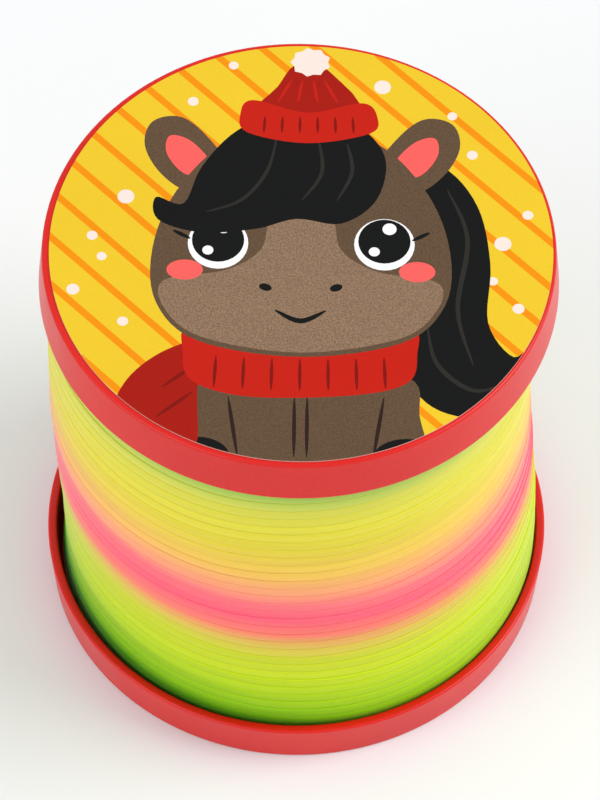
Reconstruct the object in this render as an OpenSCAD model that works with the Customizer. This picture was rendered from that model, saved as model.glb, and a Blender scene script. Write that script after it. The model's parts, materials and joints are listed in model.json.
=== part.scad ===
// Rainbow spring coil toy: one long flat plastic strip wound into a closed coil,
// with a shallow round cap glued to each end and a printed label on the top cap.
// Millimetres, +Z up. The origin is the centre of the face that the toy stands on.
//
// The coil is cut into half turns. Each half turn is a flat half ring, tilted a little
// so that its two ends lie half a pitch apart. All its cuts lie in the plane x = 0, at
// the front (-Y) and at the back (+Y) of the coil, and there it hinges on the next one
// about its outer edge. Opening the front hinges and the back hinges by the same angle
// stretches the coil. Opening only one row of them bends it into an arch.

/* [Overall] */
// Height of the closed toy, without the label
total_h = 85; // [84.5:0.5:120]

/* [Coil] */
// Outer diameter of the coil
coil_d = 76.2; // [68:0.2:76.4]
// Width of the strip, measured along the coil's radius
strip_w = 5; // [3:0.25:8]
// Thickness of the strip, measured along the coil's height
strip_t = 1.9; // [1:0.05:2]
// Bevel along the strip's outer edges
strip_bevel = 0.3; // [0.05:0.05:0.4]
// Turns in the whole coil, from cap to cap
turns = 36.5; // [33.5:1:36.5]
// Free half turns that bend on their own, between the two dead ends
free_halves = 53; // [21:2:53]

/* [Caps] */
// Outer diameter of both caps, across the open lip
cap_d = 80.6; // [80.2:0.2:90]
// Height of a cap's wall
cap_h = 8.2; // [6:0.1:12]
// Thickness of a cap's wall
cap_wall = 1.5; // [0.8:0.1:1.6]
// Angle by which a cap's wall leans outward, from its face to its lip
cap_lean = 4.6; // [0:0.1:5]
// Thickness of a cap's flat face
cap_floor = 1.2; // [0.8:0.1:2]
// Radius of the rounded edge between a cap's face and its wall
cap_round = 0.5; // [0.2:0.1:1]
// Radius of the rounding on the cap's open lip
lip_round = 0.4; // [0.1:0.05:0.5]

/* [Label] */
// Diameter of the printed label
label_d = 78.2; // [60:0.2:78.2]
// Thickness of the printed label
label_t = 0.2; // [0.1:0.05:0.4]

/* [Hidden] */
$fn = 96;
half_count = round(2 * turns);
dead_low = floor((half_count - free_halves) / 2);
dead_high = half_count - free_halves - dead_low;
coil_r = coil_d / 2;
coil_mid_r = coil_r - strip_w / 2;
coil_base_z = cap_floor + strip_t / 2;
coil_rise = total_h - 2 * coil_base_z;
pitch = coil_rise / turns;
cap_r = cap_d / 2;
cap_inner_r = cap_r - cap_wall;
lip_centre = [cap_r - lip_round, cap_h - lip_round];
lip_tangent = lip_centre + lip_round * [cos(cap_lean), -sin(cap_lean)];
face_tangent_z = cap_round * (1 - sin(cap_lean));
face_tangent_r = lip_tangent[0] - tan(cap_lean) * (lip_tangent[1] - face_tangent_z);
face_flat_r = face_tangent_r - cap_round * cos(cap_lean);

// Colours run with the turns: minty green, yellow, orange, pink, orange, yellow, lime, green
COIL_COLOURS = [
    "yellowgreen", "greenyellow", "khaki", "sandybrown", "hotpink",
    "lightsalmon", "khaki", "khaki", "mediumspringgreen"
];

function half_name(i) = str("half_turn_", i < 10 ? "0" : "", i);

// How many half pitches half turn i climbs. Each end of the coil begins with a flat
// half turn, glued to its cap, and a steep one that makes up for it.
function climb(i) =
    i == 0 || i == half_count - 1 ? 0 :
    i == 1 || i == half_count - 2 ? 2 : 1;

// Half pitches from the coil's base to the lower end of half turn i
function halves_below(i) =
    i <= 1 ? 0 :
    i <= half_count - 2 ? i :
    half_count;

function half_colour(i) =
    COIL_COLOURS[floor(i / half_count * len(COIL_COLOURS))];

// Cross-section of the strip, bevelled on the outside of the coil
module strip_section() {
    polygon([
        [coil_r - strip_w, -strip_t / 2],
        [coil_r - strip_bevel, -strip_t / 2],
        [coil_r, -strip_t / 2 + strip_bevel],
        [coil_r, strip_t / 2 - strip_bevel],
        [coil_r - strip_bevel, strip_t / 2],
        [coil_r - strip_w, strip_t / 2]
    ]);
}

// One half turn. Even ones run along the right side from front to back,
// and odd ones along the left side from back to front, so the coil is right-handed.
module half_turn(i) {
    step = climb(i) * pitch / 2;
    tilt = atan(step / (2 * coil_mid_r));
    side = i % 2 == 0 ? 1 : -1;
    middle_z = coil_base_z + halves_below(i) * pitch / 2 + step / 2;
    color(half_colour(i))
        translate([0, 0, middle_z])
            rotate([side * tilt, 0, 0])
                rotate([0, 0, -side * 90])
                    rotate_extrude(angle = 180)
                        strip_section();
}

// Dead turns that stay closed inside and just above the bottom cap
module coil_foot() {
    union() {
        for (i = [0 : dead_low - 1]) half_turn(i);
    }
}

// Dead turns that stay closed inside and just below the top cap
module coil_head() {
    union() {
        for (i = [half_count - dead_high : half_count - 1]) half_turn(i);
    }
}

// Half of the outline of a cap with its flat face down: a shallow tray whose wall
// leans outward, tangent to the rounded edges of the face and the lip
module cap_section() {
    difference() {
        union() {
            polygon([
                [0, 0],
                [face_flat_r, 0],
                [face_tangent_r, face_tangent_z],
                lip_tangent,
                [lip_centre[0], cap_h],
                [0, cap_h]
            ]);
            translate([face_flat_r, cap_round]) circle(cap_round);
            translate(lip_centre) circle(lip_round);
        }
        polygon([
            [-1, cap_floor],
            [cap_inner_r - tan(cap_lean) * (cap_h - cap_floor), cap_floor],
            [cap_inner_r, cap_h],
            [cap_inner_r, cap_h + 1],
            [-1, cap_h + 1]
        ]);
        translate([-cap_d, -cap_h]) square([cap_d, 3 * cap_h]);
    }
}

module cap() {
    color("firebrick")
        rotate_extrude()
            cap_section();
}

module bottom_cap() {
    cap();
}

module top_cap() {
    translate([0, 0, total_h])
        mirror([0, 0, 1])
            cap();
}

module label() {
    color("gold")
        translate([0, 0, total_h])
            cylinder(d = label_d, h = label_t);
}

bottom_cap();
coil_foot();
for (i = [1 : free_halves])
    half_turn(dead_low + i - 1);
coil_head();
top_cap();
label();
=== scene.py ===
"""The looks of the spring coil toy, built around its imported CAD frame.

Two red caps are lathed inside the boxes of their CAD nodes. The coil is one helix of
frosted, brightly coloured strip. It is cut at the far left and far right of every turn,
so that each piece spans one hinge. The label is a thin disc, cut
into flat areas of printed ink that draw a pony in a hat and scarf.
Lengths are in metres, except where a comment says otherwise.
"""

import json
import math

import bpy
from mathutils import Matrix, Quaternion, Vector, noise
from mathutils.geometry import delaunay_2d_cdt

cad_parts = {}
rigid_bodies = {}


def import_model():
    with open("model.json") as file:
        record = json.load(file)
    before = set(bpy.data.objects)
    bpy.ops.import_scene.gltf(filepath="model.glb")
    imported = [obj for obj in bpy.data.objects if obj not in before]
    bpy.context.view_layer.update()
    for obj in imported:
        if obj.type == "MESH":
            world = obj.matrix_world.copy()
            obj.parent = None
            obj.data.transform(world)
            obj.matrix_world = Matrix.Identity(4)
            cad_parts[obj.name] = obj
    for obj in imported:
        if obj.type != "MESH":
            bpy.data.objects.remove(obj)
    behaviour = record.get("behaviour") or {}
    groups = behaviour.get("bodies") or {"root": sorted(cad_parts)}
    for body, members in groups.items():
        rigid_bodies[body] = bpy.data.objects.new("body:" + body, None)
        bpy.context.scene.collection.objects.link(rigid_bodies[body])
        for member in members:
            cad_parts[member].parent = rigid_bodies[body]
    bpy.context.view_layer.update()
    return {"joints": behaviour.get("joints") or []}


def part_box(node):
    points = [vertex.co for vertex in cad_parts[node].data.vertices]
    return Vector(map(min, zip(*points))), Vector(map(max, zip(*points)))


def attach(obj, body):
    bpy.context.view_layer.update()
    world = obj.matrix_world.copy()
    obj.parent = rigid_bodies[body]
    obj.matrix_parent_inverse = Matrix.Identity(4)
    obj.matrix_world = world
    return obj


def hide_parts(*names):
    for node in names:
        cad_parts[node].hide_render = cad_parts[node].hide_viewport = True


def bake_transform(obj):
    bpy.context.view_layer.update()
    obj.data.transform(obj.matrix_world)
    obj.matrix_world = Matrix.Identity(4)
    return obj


MM = 0.001

# The frame and the sizes that come from it
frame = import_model()
hinges = frame["joints"]
body_order = [hinges[0]["parent"]] + [hinge["child"] for hinge in hinges]

# The coil. Places along the strip are counted in half turns from its lower end, and
# the dead ones at each end lie still in their cap
DEAD_HALVES = 10
STRIP_WIDTH = 5 * MM
STRIP_EDGE_RADIUS = 0.22 * MM
STEPS_PER_HALF = 64
coil_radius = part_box("coil_foot")[1].x
half_count = 2 * DEAD_HALVES + len(hinges) - 1
first_hinge_z = hinges[0]["pos_m"][2]
last_hinge_z = hinges[-1]["pos_m"][2]
half_pitch = (last_hinge_z - first_hinge_z) / (len(hinges) - 1)
coil_base_z = first_hinge_z - DEAD_HALVES * half_pitch
strip_thickness = 2 * half_pitch

# The caps
CAP_WALL = 1.5 * MM
CAP_FLOOR = 1.2 * MM
CAP_EDGE_RADIUS = 0.5 * MM
CAP_LIP_RADIUS = 0.4 * MM
CAP_INNER_FILLET = 0.3 * MM
CAP_LEAN = math.radians(4.6)
CAP_SEGMENTS = 144

# The camera, fitted to the outlines of the two caps
CAMERA_ELEVATION = math.radians(56.44)
CAMERA_DISTANCE = 1.213
CAMERA_ROLL = math.radians(0.64)
CAMERA_LENS_MM = 344.7
CAMERA_AIM_Z = 45 * MM
CAMERA_AIM_RIGHT = 0.38 * MM
CAMERA_AIM_UP = -0.874 * MM

# The stage
FLOOR_HALF_WIDTH = 3.0
LIGHT_AIM_Z = 40 * MM
ROOM_BRIGHTNESS = 0.76


# ---------------------------------------------------------------- materials


def srgb(red, green, blue):
    """A colour given as 0 to 255 sRGB values, as linear RGBA."""
    def linear(value):
        value /= 255
        return value / 12.92 if value <= 0.04045 else ((value + 0.055) / 1.055) ** 2.4
    return (linear(red), linear(green), linear(blue), 1.0)


def new_material(name):
    """A new material, its node tree and its shader."""
    material = bpy.data.materials.new(name)
    material.use_nodes = True
    return material, material.node_tree, material.node_tree.nodes["Principled BSDF"]


def add_node(tree, kind, inputs=None, **settings):
    """A new node. Inputs that are sockets are linked, and the others are set."""
    node = tree.nodes.new(kind)
    for name, value in settings.items():
        setattr(node, name, value)
    for name, value in (inputs or {}).items():
        if isinstance(value, bpy.types.NodeSocket):
            tree.links.new(value, node.inputs[name])
        else:
            node.inputs[name].default_value = value
    return node


def noise_value(tree, vector, scale, detail):
    """Noise from 0 to 1, with about scale features to the unit of vector."""
    inputs = {"Vector": vector, "Scale": scale, "Detail": detail}
    return add_node(tree, "ShaderNodeTexNoise", inputs).outputs["Fac"]


def ranged(tree, noise_level, low, high):
    """Noise stretched to a range from low to high, and kept within it. Most of the
    noise lies between the two From values."""
    inputs = {
        "Value": noise_level, "From Min": 0.3, "From Max": 0.7,
        "To Min": low, "To Max": high,
    }
    return add_node(tree, "ShaderNodeMapRange", inputs).outputs["Result"]


def brightened(tree, colour, value):
    """colour, made brighter or darker by the factor value."""
    inputs = {"Color": colour, "Value": value}
    return add_node(tree, "ShaderNodeHueSaturation", inputs).outputs["Color"]


def mixed(tree, share, first, second):
    """Two colours mixed, with this share of the second. The node's sockets go by number,
    because it has the same names again for values and vectors."""
    inputs = {0: share, 6: first, 7: second}
    return add_node(tree, "ShaderNodeMix", inputs, data_type="RGBA").outputs[2]


def add_bump(tree, shader, height, distance, strength):
    """A fine relief, distance deep, that only the shader sees."""
    inputs = {"Height": height, "Distance": distance, "Strength": strength}
    bump = add_node(tree, "ShaderNodeBump", inputs)
    tree.links.new(bump.outputs["Normal"], shader.inputs["Normal"])


def cap_plastic():
    """Satin red moulded plastic, a little cloudy, with a fine orange-peel surface."""
    material, tree, shader = new_material("red_cap_plastic")
    place = add_node(tree, "ShaderNodeTexCoord").outputs["Object"]
    clouds = ranged(tree, noise_value(tree, place, scale=45, detail=3), 0.0, 1.0)
    colour = mixed(tree, clouds, srgb(206, 16, 9), srgb(214, 22, 12))
    specks = ranged(tree, noise_value(tree, place, scale=2600, detail=1), 0.95, 1.05)
    tree.links.new(brightened(tree, colour, specks), shader.inputs["Base Color"])
    smears = ranged(tree, noise_value(tree, place, scale=120, detail=4), 0.3, 0.36)
    tree.links.new(smears, shader.inputs["Roughness"])
    orange_peel = noise_value(tree, place, scale=900, detail=1)
    add_bump(tree, shader, orange_peel, distance=0.006 * MM, strength=0.3)
    shader.inputs["IOR"].default_value = 1.5
    shader.inputs["Specular IOR Level"].default_value = 0.36
    shader.inputs["Subsurface Weight"].default_value = 0.3
    shader.inputs["Subsurface Radius"].default_value = (1.0, 0.2, 0.1)
    shader.inputs["Subsurface Scale"].default_value = 1.6 * MM
    return material


# The strip's colour by its height in the coil: millimetres above the coil's base.
# The dark greens of the lowest stops are partly the strip's dye and partly painted shade
# low in the lower cap
COIL_COLOURS = (
    (0, (44, 124, 18)),
    (5, (76, 146, 8)),
    (9, (132, 190, 2)),
    (13, (166, 206, 2)),
    (18, (190, 215, 14)),
    (24, (203, 214, 36)),
    (28, (218, 192, 78)),
    (31.5, (250, 126, 108)),
    (36, (255, 94, 120)),
    (40, (255, 120, 126)),
    (44, (250, 164, 114)),
    (49, (238, 192, 84)),
    (56, (226, 209, 58)),
    (63, (220, 213, 62)),
    (67, (212, 210, 76)),
    (69.5, (184, 202, 84)),
    (72, (140, 188, 78)),
)
DYED_HEIGHT = COIL_COLOURS[-1][0]


def coil_plastic():
    """Frosted, brightly dyed strip. Its colour follows the height stored on the mesh, and
    its darkest green near the base is partly painted shade.
    """
    material, tree, shader = new_material("rainbow_strip_plastic")
    height = add_node(tree, "ShaderNodeAttribute", attribute_name="coil_height")
    strip = add_node(tree, "ShaderNodeUVMap", uv_map="strip").outputs["UV"]
    drawn_out = {"Vector": strip, "Scale": (0.02, 0.6, 1.0)}
    along = add_node(tree, "ShaderNodeMapping", drawn_out).outputs["Vector"]
    streaks = noise_value(tree, along, scale=1.0, detail=3)
    drift = ranged(tree, streaks, -0.012, 0.012)
    moved = add_node(
        tree, "ShaderNodeMath", {0: height.outputs["Fac"], 1: drift}, operation="ADD"
    ).outputs[0]
    ramp = add_node(tree, "ShaderNodeValToRGB", {"Fac": moved})
    stops = ramp.color_ramp.elements
    stops[0].color = srgb(*COIL_COLOURS[0][1])
    stops[1].color = srgb(*COIL_COLOURS[-1][1])
    for stop_height, colour in COIL_COLOURS[1:-1]:
        stops.new(stop_height / DYED_HEIGHT).color = srgb(*colour)
    shade = ranged(tree, streaks, 0.93, 1.05)
    colour = brightened(tree, ramp.outputs["Color"], shade)
    tree.links.new(colour, shader.inputs["Base Color"])
    frost = noise_value(tree, strip, scale=3.0, detail=3)
    tree.links.new(ranged(tree, frost, 0.36, 0.5), shader.inputs["Roughness"])
    draw_marks = noise_value(tree, along, scale=4.0, detail=2)
    add_bump(tree, shader, draw_marks, distance=0.03 * MM, strength=0.4)
    shader.inputs["IOR"].default_value = 1.46
    shader.inputs["Specular IOR Level"].default_value = 0.16
    shader.inputs["Sheen Weight"].default_value = 0.2
    shader.inputs["Sheen Roughness"].default_value = 0.3
    shader.inputs["Subsurface Weight"].default_value = 0.4
    shader.inputs["Subsurface Radius"].default_value = (1.0, 0.9, 0.6)
    shader.inputs["Subsurface Scale"].default_value = 0.6 * MM
    return material


def ink(name, colour, grain):
    """Printed ink on coated paper. The grain of its halftone is the share by which its
    dots are darker or brighter."""
    material, tree, shader = new_material("ink_" + name)
    place = add_node(tree, "ShaderNodeTexCoord").outputs["Object"]
    dot_size = 0.25 * MM
    dots = noise_value(tree, place, scale=1 / dot_size, detail=1)
    halftone = ranged(tree, dots, 1 - grain, 1 + grain)
    wash = ranged(tree, noise_value(tree, place, scale=60, detail=2), 0.985, 1.015)
    washed = brightened(tree, srgb(*colour), wash)
    tree.links.new(brightened(tree, washed, halftone), shader.inputs["Base Color"])
    coating = ranged(tree, noise_value(tree, place, scale=900, detail=2), 0.42, 0.52)
    tree.links.new(coating, shader.inputs["Roughness"])
    fibres = noise_value(tree, place, scale=1500, detail=1)
    add_bump(tree, shader, fibres, distance=0.008 * MM, strength=0.3)
    shader.inputs["Specular IOR Level"].default_value = 0.12
    return material


def floor_paper():
    """A plain pale studio floor."""
    material, tree, shader = new_material("studio_floor")
    place = add_node(tree, "ShaderNodeTexCoord").outputs["Object"]
    tone = ranged(tree, noise_value(tree, place, scale=3, detail=2), 0.99, 1.01)
    pale_grey = (0.80, 0.825, 0.84, 1.0)
    colour = brightened(tree, pale_grey, tone)
    tree.links.new(colour, shader.inputs["Base Color"])
    shader.inputs["Roughness"].default_value = 0.85
    shader.inputs["Specular IOR Level"].default_value = 0.1
    return material


# ------------------------------------------------------------------- meshes


def new_piece(name, points, faces, materials):
    """A mesh object in the scene, with a slot for each material."""
    mesh = bpy.data.meshes.new(name)
    mesh.from_pydata(points, [], faces)
    for material in materials:
        mesh.materials.append(material)
    piece = bpy.data.objects.new(name, mesh)
    bpy.context.scene.collection.objects.link(piece)
    return piece


def arc(centre, radius, start, end, steps=6):
    """Points of an arc in a plane. Its angles are in degrees."""
    angles = [math.radians(start + (end - start) * i / steps) for i in range(steps + 1)]
    return [
        (centre[0] + radius * math.cos(a), centre[1] + radius * math.sin(a))
        for a in angles
    ]


def lathe(name, outline, segments, material):
    """A closed solid of revolution. The outline runs from the axis to the axis."""
    turned = outline[1:-1]
    points = [(0, 0, outline[0][1])]
    for i in range(segments):
        angle = 2 * math.pi * i / segments
        points += [(r * math.cos(angle), r * math.sin(angle), z) for r, z in turned]
    points.append((0, 0, outline[-1][1]))
    faces = []
    count, last = len(turned), len(points) - 1
    for i in range(segments):
        here, there = 1 + i * count, 1 + (i + 1) % segments * count
        faces.append((0, there, here))
        faces.append((last, here + count - 1, there + count - 1))
        for j in range(count - 1):
            faces.append((here + j, there + j, there + j + 1, here + j + 1))
    piece = new_piece(name, points, faces, [material])
    piece.data.shade_smooth()
    return piece


# --------------------------------------------------------------------- caps


def cap_outline(radius, height):
    """Half of a cap's section with its face down: a tray with rounded edges, whose
    wall leans outward. A guard point beside each rounded edge keeps the flat face next
    to it flat when the mesh is shaded smooth."""
    slope = math.tan(CAP_LEAN)
    guard = 0.08 * MM
    lip_z = height - CAP_LIP_RADIUS
    inner = radius - CAP_WALL
    face_radius = radius - slope * (lip_z - CAP_EDGE_RADIUS)
    corner = (face_radius - CAP_EDGE_RADIUS, CAP_EDGE_RADIUS)
    inner_foot = inner - slope * (height - CAP_FLOOR)
    inside = (inner_foot - CAP_INNER_FILLET, CAP_FLOOR + CAP_INNER_FILLET)
    return (
        [(0, 0), (corner[0] / 2, 0), (corner[0] - guard, 0)]
        + arc(corner, CAP_EDGE_RADIUS, -90, 0)
        + [(face_radius + slope * guard, corner[1] + guard)]
        + [(radius - slope * guard, lip_z - guard)]
        + arc((radius - CAP_LIP_RADIUS, lip_z), CAP_LIP_RADIUS, 0, 90)
        + arc((inner + CAP_LIP_RADIUS, lip_z), CAP_LIP_RADIUS, 90, 180)
        + [(inner - slope * guard, lip_z - guard)]
        + [(inner_foot + slope * guard, inside[1] + guard)]
        + arc(inside, CAP_INNER_FILLET, 0, -90, steps=3)
        + [(inside[0] - guard, CAP_FLOOR), (inside[0] / 2, CAP_FLOOR), (0, CAP_FLOOR)]
    )


def make_cap(node, name, body, upside_down, material):
    """A cap inside its CAD node's box."""
    low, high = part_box(node)
    outline = cap_outline(high.x, high.z - low.z)
    if upside_down:
        outline = [(r, high.z - z) for r, z in reversed(outline)]
    else:
        outline = [(r, low.z + z) for r, z in outline]
    piece = lathe(name, outline, CAP_SEGMENTS, material)
    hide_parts(node)
    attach(piece, body)


# --------------------------------------------------------------------- coil


def climbed(halves):
    """Half pitches climbed after so many half turns. The first half turn lies flat on
    the cap, and the second one is steep enough to catch up. The top end is the same,
    upside down."""
    if halves <= 1:
        return 0.0
    if halves < 2:
        beyond = halves - 1
        return 5 * beyond**2 - 3 * beyond**3
    if halves > half_count - 2:
        return half_count - climbed(half_count - halves)
    return halves


def smooth_step(value):
    """0 up to a value of 0, 1 from a value of 1, and an S curve between them."""
    value = min(1.0, max(0.0, value))
    return value * value * (3 - 2 * value)


def coil_centre(halves):
    """The point of the coil's axis at a place along the strip. The stack of turns
    leans against the front right of the bottom cap, crosses to the left on the way up,
    and comes back to the middle at the top."""
    share = halves / half_count
    aside = smooth_step(share / 0.1)
    crossing = smooth_step((share - 0.11) / 0.5)
    back = smooth_step((share - 0.8) / 0.2)
    lean_right, lean_left, lean_forward = 0.6 * MM, 1.2 * MM, 0.3 * MM
    x = lean_right * (aside - crossing) - lean_left * (crossing - back)
    y = -lean_forward * (aside - crossing)
    return Vector((x, y, coil_base_z + climbed(halves) * half_pitch))


def strip_loop():
    """The strip's section, as (along the coil's radius, up) from its middle."""
    wide = STRIP_WIDTH / 2 - STRIP_EDGE_RADIUS
    high = strip_thickness / 2 - STRIP_EDGE_RADIUS
    loop = []
    for x, y, start in ((1, 1, 0), (-1, 1, 90), (-1, -1, 180), (1, -1, 270)):
        corner = (x * wide, y * high)
        loop += arc(corner, STRIP_EDGE_RADIUS, start, start + 90, steps=4)
    return loop


def strip_ring(halves, loop):
    """The strip's section placed in the coil, and thinner where it lies flat on a cap,
    to clear the cap's floor. Away from the caps each turn is a little uneven, and a wave
    moves neighbouring turns up or down together."""
    angle = math.pi * (halves - 0.5)
    outward = Vector((math.cos(angle), math.sin(angle), 0))
    share = halves / half_count
    from_end = min(halves, half_count - halves)
    flatness = 1 - smooth_step(from_end - 1)
    flat_scale = 2 * (coil_base_z - CAP_FLOOR) / strip_thickness
    scale = 1 + (flat_scale - 1) * flatness
    freedom = smooth_step(min(share, 1 - share) / 0.12)
    uneven = noise.noise(Vector((halves * 0.9, 3.7, 0.0))) * freedom
    wave = noise.noise(Vector((2.2 * outward.x, 2.2 * outward.y, 6.0 * share))) * freedom
    room, most_aside, most_up, most_wave = 0.1 * MM, 0.16 * MM, 0.05 * MM, 0.25 * MM
    middle = coil_radius - STRIP_WIDTH / 2 - room
    centre = coil_centre(halves) + outward * (middle + most_aside * uneven)
    centre.z += most_wave * wave + most_up * uneven
    return [centre + outward * across + Vector((0, 0, scale * up)) for across, up in loop]


def strip_piece(name, start, end, material):
    """A length of the coiled strip, from half turn number start to number end."""
    loop = strip_loop()
    sides = len(loop)
    steps = round((end - start) * STEPS_PER_HALF)
    places = [start + (end - start) * i / steps for i in range(steps + 1)]
    points = [point for place in places for point in strip_ring(place, loop)]
    faces = [
        (i * sides + j, (i + 1) * sides + j,
         (i + 1) * sides + (j + 1) % sides, i * sides + (j + 1) % sides)
        for i in range(steps) for j in range(sides)
    ]
    faces.append(tuple(range(sides)))
    faces.append(tuple(reversed(range(steps * sides, (steps + 1) * sides))))
    piece = new_piece(name, points, faces, [material])
    mesh = piece.data
    mesh.shade_smooth()
    cut_ends = {edge for face in mesh.polygons[-2:] for edge in face.edge_keys}
    for edge in mesh.edges:
        edge.use_edge_sharp = edge.key in cut_ends
    store_coil_height(mesh)
    store_strip_map(mesh, places, sides)
    return piece


def store_coil_height(mesh):
    """Each point's height among the colour bands, from 0 to 1. The bands lie a little
    lower on the right. Near the base the right side is moved further up the bands, so it
    shows a brighter green than the left and front: painted light where the key light
    falls."""
    tilt, painted_light_slope, base_reach = 0.045, 0.15, 20 * MM
    heights = []
    for point in mesh.vertices:
        height = point.co.z - coil_base_z
        at_base = 1 - smooth_step(height / base_reach)
        # The second term paints light: a brighter green low on the right, where the key
        # light falls
        drop = tilt * point.co.x + painted_light_slope * at_base * max(0.0, point.co.x)
        heights.append((height + drop) / (DYED_HEIGHT * MM))
    attribute = mesh.attributes.new("coil_height", "FLOAT", "POINT")
    attribute.data.foreach_set("value", heights)


def store_strip_map(mesh, places, sides):
    """A UV map in millimetres: along the strip, and around its section."""
    half_length = math.pi * (coil_radius - STRIP_WIDTH / 2) / MM
    around = 2 * (STRIP_WIDTH + strip_thickness) / MM
    layer = mesh.uv_layers.new(name="strip")
    for face in mesh.polygons[:-2]:
        last_side = max(mesh.loops[i].vertex_index % sides for i in face.loop_indices)
        for index in face.loop_indices:
            step, side = divmod(mesh.loops[index].vertex_index, sides)
            if side == 0 and last_side == sides - 1:
                side = sides
            layer.data[index].uv = (places[step] * half_length, side / sides * around)


def make_coil(material):
    """The whole coil: its two dead ends, and a piece across each hinge. There is one
    more hinge than half turn nodes, so the last piece stands for no node of its own."""
    foot = strip_piece("coil_foot_strip", 0, DEAD_HALVES - 0.5, material)
    head = strip_piece(
        "coil_head_strip", half_count - DEAD_HALVES + 0.5, half_count, material
    )
    for piece, node, body in ((foot, "coil_foot", 0), (head, "coil_head", -1)):
        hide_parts(node)
        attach(piece, body_order[body])
    last = len(hinges) - 1
    for number in range(len(hinges)):
        middle = DEAD_HALVES + number
        name = f"coil_strip_{number + 1:02d}"
        piece = strip_piece(name, middle - 0.5, middle + 0.5, material)
        node = f"half_turn_{min(number + 1, last):02d}"
        if number < last:
            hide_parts(node)
        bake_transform(piece)


# -------------------------------------------------------------------- label
# The picture is drawn in a disc of radius 1, with x to the right and y up. Shapes are
# pairs of an ink's name and a closed outline, and later shapes cover earlier ones.


def ellipse(x, y, wide, high, turn=0, steps=32):
    """An ellipse's outline, turned by so many degrees."""
    c, s = math.cos(math.radians(turn)), math.sin(math.radians(turn))
    outline = []
    for i in range(steps):
        a = 2 * math.pi * i / steps
        px, py = wide * math.cos(a), high * math.sin(a)
        outline.append((x + px * c - py * s, y + px * s + py * c))
    return outline


def spline(points, closed=True, steps=6):
    """A smooth curve through the points, a Catmull-Rom spline."""
    count = len(points)
    curve = []
    for i in range(count if closed else count - 1):
        if closed:
            a, b, c, d = (points[(i + k) % count] for k in (-1, 0, 1, 2))
        else:
            a, b, c, d = (points[min(max(i + k, 0), count - 1)] for k in (-1, 0, 1, 2))
        for j in range(steps):
            t = j / steps
            curve.append(tuple(
                0.5 * (2 * q + (r - p) * t + (2 * p - 5 * q + 4 * r - s) * t * t
                       + (3 * q - p - 3 * r + s) * t**3)
                for p, q, r, s in zip(a, b, c, d)
            ))
    return curve if closed else curve + [points[-1]]


def stroke(points, width):
    """A brush line along a smooth curve, thin at both ends."""
    line = spline(points, closed=False)
    left, right = [], []
    last = len(line) - 1
    blunt = 0.08
    for i, (x, y) in enumerate(line):
        ahead, behind = line[min(i + 1, last)], line[max(i - 1, 0)]
        dx, dy = ahead[0] - behind[0], ahead[1] - behind[1]
        length = math.hypot(dx, dy)
        half = width / 2 * math.sin(math.pi * (blunt + (1 - 2 * blunt) * i / last))
        left.append((x - dy / length * half, y + dx / length * half))
        right.append((x + dy / length * half, y - dx / length * half))
    return left + right[::-1]


def mirrored(outline):
    """The same outline on the picture's other side."""
    return [(-x, y) for x, y in reversed(outline)]


def striped_ground():
    """A yellow disc with diagonal orange stripes and scattered snow."""
    shapes = [("yellow", ellipse(0, 0, 1, 1, steps=192))]
    spacing, first, half_width = 0.156, 0.112, 0.015
    diagonal, past_rim = math.sqrt(0.5), 1.01
    corners = ((1, -1), (1, 1), (-1, 1), (-1, -1))
    for number in range(-7, 6):
        middle = first + number * spacing
        reach = math.sqrt(past_rim**2 - middle**2)
        shapes.append(("orange", [
            (diagonal * (middle + side * half_width + end * reach),
             diagonal * (middle + side * half_width - end * reach))
            for end, side in corners
        ]))
    snow = (
        (-0.44, 0.72, 0.022), (-0.70, 0.25, 0.034), (-0.83, 0.06, 0.022),
        (-0.79, -0.04, 0.020), (-0.70, -0.35, 0.022), (0.32, 0.80, 0.034),
        (0.68, 0.47, 0.022), (0.90, 0.18, 0.022), (0.80, 0.04, 0.034),
        (0.76, -0.14, 0.020), (0.86, -0.27, 0.024), (-0.28, 0.90, 0.020),
        (-0.58, 0.56, 0.018), (-0.90, -0.20, 0.026), (0.60, 0.66, 0.020),
    )
    return shapes + [("snow", ellipse(x, y, r, r, steps=20)) for x, y, r in snow]


def mane():
    """The long mane that falls down the right side."""
    flow = spline([
        (0.36, 0.42), (0.56, 0.41), (0.70, 0.22), (0.75, -0.06), (0.74, -0.34),
        (0.84, -0.50), (0.93, -0.42), (0.90, -0.62), (0.72, -0.78), (0.52, -0.74),
        (0.42, -0.56), (0.44, -0.20), (0.36, 0.10),
    ])
    strands = [
        [(0.58, 0.30), (0.66, 0.06), (0.62, -0.28), (0.68, -0.54)],
        [(0.50, -0.36), (0.54, -0.54), (0.68, -0.66), (0.82, -0.62)],
    ]
    return [("black", flow)] + [("dark_hair", stroke(s, 0.02)) for s in strands]


def pony_body():
    """The trunk, cut off by the disc's lower edge, with its legs and hooves."""
    trunk = spline([
        (-0.40, -0.60), (0.0, -0.56), (0.42, -0.60), (0.47, -0.78), (0.46, -1.02),
        (0.0, -1.05), (-0.44, -1.02), (-0.45, -0.78),
    ])
    legs = [[(x, -0.70), (x + lean, -0.98)] for x, lean in
            ((-0.28, 0.04), (-0.02, 0.0), (0.03, 0.0), (0.33, -0.04))]
    hooves = [ellipse(x, -0.98, 0.13, 0.09) for x in (-0.40, 0.42)]
    return (
        [("brown", trunk)]
        + [("dark_brown", stroke(leg, 0.016)) for leg in legs]
        + [("black", hoof) for hoof in hooves]
    )


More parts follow.
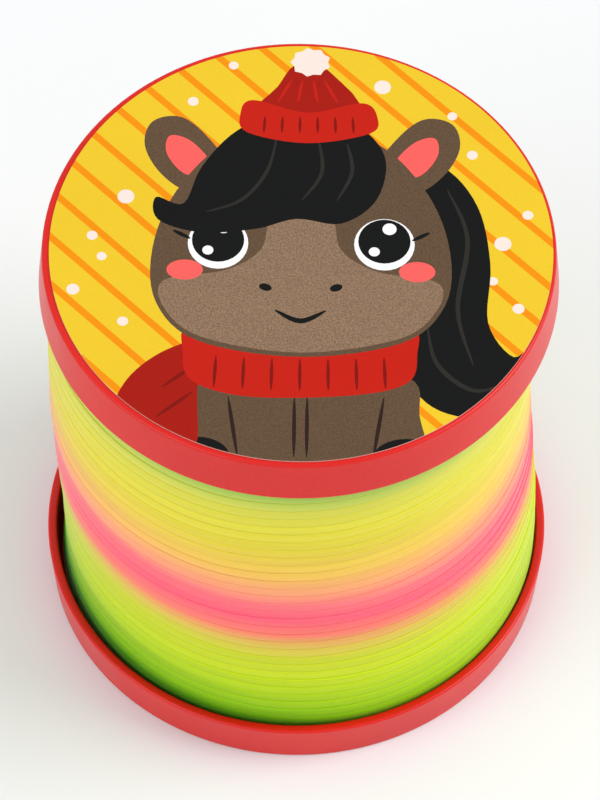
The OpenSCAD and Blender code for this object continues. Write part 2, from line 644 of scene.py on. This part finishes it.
def scarf():
    """A ribbed scarf round the neck, with one end blown to the left."""
    tail = spline([
        (-0.36, -0.44), (-0.52, -0.48), (-0.66, -0.60), (-0.72, -0.74), (-0.64, -0.80),
        (-0.50, -0.90), (-0.40, -0.92), (-0.40, -0.66),
    ])
    band = spline([
        (-0.42, -0.36), (0.0, -0.46), (0.42, -0.36), (0.46, -0.50), (0.42, -0.63),
        (0.20, -0.69), (-0.20, -0.70), (-0.42, -0.63), (-0.46, -0.50),
    ])
    ribs = [[(x, -0.52 + 0.10 * x * x), (x * 1.02, -0.67 + 0.12 * x * x)]
            for x in (-0.33, -0.22, -0.11, 0.0, 0.11, 0.22, 0.33)]
    folds = [[(-0.42, -0.56), (-0.54, -0.66)], [(-0.42, -0.68), (-0.56, -0.80)]]
    return (
        [("deep_red", tail)]
        + [("line_red", stroke(fold, 0.016)) for fold in folds]
        + [("red", band)]
        + [("line_red", stroke(rib, 0.014)) for rib in ribs]
    )


def ears():
    """Two rounded ears, pink inside."""
    outer = spline([
        (0.28, 0.36), (0.36, 0.52), (0.48, 0.64), (0.60, 0.62), (0.63, 0.50),
        (0.56, 0.36), (0.44, 0.28),
    ])
    inner = spline([(0.36, 0.40), (0.44, 0.52), (0.53, 0.55), (0.54, 0.46), (0.46, 0.36)])
    return [
        ("brown", outer), ("brown", mirrored(outer)),
        ("pink", inner), ("pink", mirrored(inner)),
    ]


def head():
    """The pony's face: a wide muzzle, round eyes and a small smile."""
    skull = spline([
        (0.0, 0.60), (0.30, 0.52), (0.50, 0.28), (0.59, 0.0), (0.57, -0.26),
        (0.40, -0.44), (0.0, -0.51), (-0.40, -0.44), (-0.57, -0.26), (-0.59, 0.0),
        (-0.50, 0.28), (-0.30, 0.52),
    ])
    muzzle = spline([
        (0.0, 0.24), (0.12, 0.16), (0.16, 0.0), (0.30, -0.10), (0.54, -0.15),
        (0.54, -0.28), (0.39, -0.42), (0.0, -0.49), (-0.39, -0.42), (-0.54, -0.28),
        (-0.54, -0.15), (-0.30, -0.10), (-0.16, 0.0), (-0.12, 0.16),
    ])
    shapes = [("brown", skull), ("light_brown", muzzle)]
    for side in (-1, 1):
        eye_x = side * 0.33
        shapes += [
            ("pink", ellipse(side * 0.46, -0.10, 0.072, 0.048)),
            ("white", ellipse(eye_x, 0.03, 0.120, 0.124)),
            ("black", ellipse(eye_x, 0.045, 0.104, 0.106)),
            ("white", ellipse(eye_x + 0.02, 0.105, 0.028, 0.028, steps=20)),
            ("white", ellipse(eye_x - 0.04, -0.005, 0.022, 0.022, steps=20)),
            ("black", ellipse(side * 0.14, -0.18, 0.026, 0.017, side * 20, steps=20)),
        ]
        lash = [(side * 0.44, 0.05), (side * 0.51, 0.09)]
        shapes.append(("black", stroke(lash, 0.018)))
    smile = [(-0.10, -0.29), (0.0, -0.34), (0.10, -0.29)]
    shapes.append(("black", stroke(smile, 0.024)))
    return shapes


def forelock():
    """The dark fringe that falls over the brow to the left."""
    lock = spline([
        (-0.05, 0.68), (0.20, 0.62), (0.33, 0.46), (0.30, 0.25), (0.16, 0.13),
        (-0.02, 0.15), (-0.18, 0.10), (-0.40, 0.08), (-0.57, 0.14), (-0.58, 0.25),
        (-0.47, 0.22), (-0.40, 0.40), (-0.26, 0.58),
    ])
    strands = [
        [(-0.10, 0.56), (-0.14, 0.38), (-0.24, 0.24), (-0.38, 0.18)],
        [(0.06, 0.56), (0.08, 0.38), (0.0, 0.24)],
        [(0.18, 0.52), (0.20, 0.38), (0.14, 0.24)],
    ]
    return [("black", lock)] + [("dark_hair", stroke(s, 0.016)) for s in strands]


def hat():
    """A knitted hat with a rolled brim and a bobble."""
    crown = spline([
        (-0.18, 0.66), (-0.10, 0.80), (-0.04, 0.90), (0.04, 0.91), (0.12, 0.86),
        (0.22, 0.68),
    ], steps=4)
    brim = spline([
        (-0.20, 0.73), (0.02, 0.67), (0.24, 0.72), (0.30, 0.65), (0.27, 0.57),
        (0.02, 0.52), (-0.22, 0.57), (-0.25, 0.66),
    ])
    middle = 0.02
    ribs = [[(middle + x * 0.55, 0.83), (middle + x, 0.72)]
            for x in (-0.12, -0.04, 0.04, 0.12)]
    cuffs = [[(middle + x, 0.65), (middle + x * 1.03, 0.57)]
             for x in (-0.17, -0.10, -0.03, 0.04, 0.11, 0.18)]
    bobble = []
    tufts = 9
    for i in range(2 * tufts):
        angle = math.pi * i / tufts
        wide, high = (0.082, 0.072) if i % 2 else (0.070, 0.062)
        bobble.append((0.03 + wide * math.cos(angle), 0.92 + high * math.sin(angle)))
    return (
        [("deep_red", crown)]
        + [("red", stroke(rib, 0.012)) for rib in ribs]
        + [("red", brim)]
        + [("line_red", stroke(cuff, 0.012)) for cuff in cuffs]
        + [("snow", bobble)]
    )


# Each ink's colour, and the grain of its halftone
INKS = {
    "paper": ((214, 180, 168), 0.04),
    "yellow": ((224, 188, 40), 0.03),
    "orange": ((230, 138, 4), 0.03),
    "snow": ((232, 216, 206), 0.03),
    "white": ((236, 236, 236), 0.02),
    "black": ((11, 13, 12), 0.10),
    "dark_hair": ((40, 38, 34), 0.10),
    "brown": ((92, 72, 53), 0.22),
    "light_brown": ((132, 106, 84), 0.3),
    "dark_brown": ((42, 26, 18), 0.08),
    "pink": ((244, 92, 88), 0.04),
    "red": ((186, 26, 10), 0.04),
    "deep_red": ((156, 20, 6), 0.05),
    "line_red": ((122, 12, 4), 0.05),
}


def counterclockwise(outline):
    """The outline, reversed if it ran clockwise."""
    around = sum(
        a[0] * b[1] - b[0] * a[1] for a, b in zip(outline, outline[1:] + outline[:1])
    )
    return outline if around > 0 else outline[::-1]


def cut_areas(shapes):
    """Cuts the disc along every outline. Gives points, triangles and each one's ink."""
    points, outlines = [], []
    for _, outline in shapes:
        outlines.append(list(range(len(points), len(points) + len(outline))))
        points += [Vector(point) for point in counterclockwise(outline)]
    only_inside, same_point, with_origins = 1, 1e-6, True
    points, _, triangles, _, _, covers = delaunay_2d_cdt(
        points, [], outlines, only_inside, same_point, with_origins
    )
    on_disc = [i for i, covering in enumerate(covers) if 0 in covering]
    inks = [shapes[max(covers[i])][0] for i in on_disc]
    triangles = [triangles[i] for i in on_disc]
    used = sorted({i for triangle in triangles for i in triangle})
    renumbered = {old: new for new, old in enumerate(used)}
    triangles = [tuple(renumbered[i] for i in triangle) for triangle in triangles]
    return [points[i] for i in used], triangles, inks


def make_label():
    """A thin closed disc with the picture on its upper side, and bare paper below and
    round its rim. It is stuck on a little off the middle of the cap."""
    shapes = striped_ground() + mane() + pony_body() + scarf() + ears() + head()
    points, triangles, inks = cut_areas(shapes + forelock() + hat())
    low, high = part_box("label")
    trimmed = 0.25 * MM
    off_centre = 0.3 * MM
    radius = high.x - trimmed
    count = len(points)
    upper = [(p.x * radius + off_centre, p.y * radius, high.z) for p in points]
    lower = [(x, y, low.z) for x, y, _ in upper]
    edges = {(t[k], t[(k + 1) % 3]) for t in triangles for k in range(3)}
    rim = [(a, b) for a, b in sorted(edges) if (b, a) not in edges]
    faces = triangles + [tuple(i + count for i in reversed(t)) for t in triangles]
    faces += [(b, a, a + count, b + count) for a, b in rim]
    inks += ["paper"] * (len(faces) - len(inks))
    names = list(INKS)
    materials = [ink(name, *INKS[name]) for name in names]
    label = new_piece("printed_label", upper + lower, faces, materials)
    for face, name in zip(label.data.polygons, inks):
        face.material_index = names.index(name)
    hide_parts("label")
    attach(label, body_order[-1])


# -------------------------------------------------------------------- stage


def make_floor():
    """A wide square of paper that the toy stands on."""
    half = FLOOR_HALF_WIDTH
    corners = [(-half, -half, 0), (half, -half, 0), (half, half, 0), (-half, half, 0)]
    new_piece("studio_floor", corners, [(0, 1, 2, 3)], [floor_paper()])


def area_light(name, place, size, power):
    """A soft round lamp that points at the middle of the toy."""
    light = bpy.data.lights.new(name, "AREA")
    light.shape = "DISK"
    light.size = size
    light.energy = power
    lamp = bpy.data.objects.new(name, light)
    lamp.location = place
    aim = Vector((0, 0, LIGHT_AIM_Z)) - lamp.location
    lamp.rotation_euler = aim.to_track_quat("-Z", "Y").to_euler()
    bpy.context.scene.collection.objects.link(lamp)


def make_lights():
    """A key light at the right, a weaker light at the front left, and a white room."""
    area_light("key_light", place=(1.1, 0.0, 1.0), size=1.0, power=12)
    area_light("left_light", place=(-0.9, -0.7, 0.8), size=1.2, power=6.1)
    world = bpy.data.worlds.new("studio_room")
    world.use_nodes = True
    sky = world.node_tree.nodes["Background"]
    sky.inputs["Color"].default_value = (1.0, 1.0, 1.0, 1.0)
    sky.inputs["Strength"].default_value = ROOM_BRIGHTNESS
    bpy.context.scene.world = world


def make_camera():
    """The photograph's viewpoint: in front of the toy, looking down on it."""
    sine, cosine = math.sin(CAMERA_ELEVATION), math.cos(CAMERA_ELEVATION)
    back = Vector((0, -cosine, sine))
    up = Vector((0, sine, cosine))
    aim = Vector((CAMERA_AIM_RIGHT, 0, CAMERA_AIM_Z)) + up * CAMERA_AIM_UP
    camera = bpy.data.objects.new("camera", bpy.data.cameras.new("camera"))
    camera.data.lens = CAMERA_LENS_MM
    camera.location = aim + back * CAMERA_DISTANCE
    camera.rotation_mode = "QUATERNION"
    roll = Quaternion((0, 0, 1), CAMERA_ROLL)
    camera.rotation_quaternion = (-back).to_track_quat("-Z", "Y") @ roll
    bpy.context.scene.collection.objects.link(camera)
    bpy.context.scene.camera = camera


make_camera()
make_floor()
make_lights()
bpy.context.scene.view_settings.view_transform = "Standard"
red = cap_plastic()
make_cap("bottom_cap", "lower_cap", body_order[0], False, red)
make_cap("top_cap", "upper_cap", body_order[-1], True, red)
make_coil(coil_plastic())
make_label()
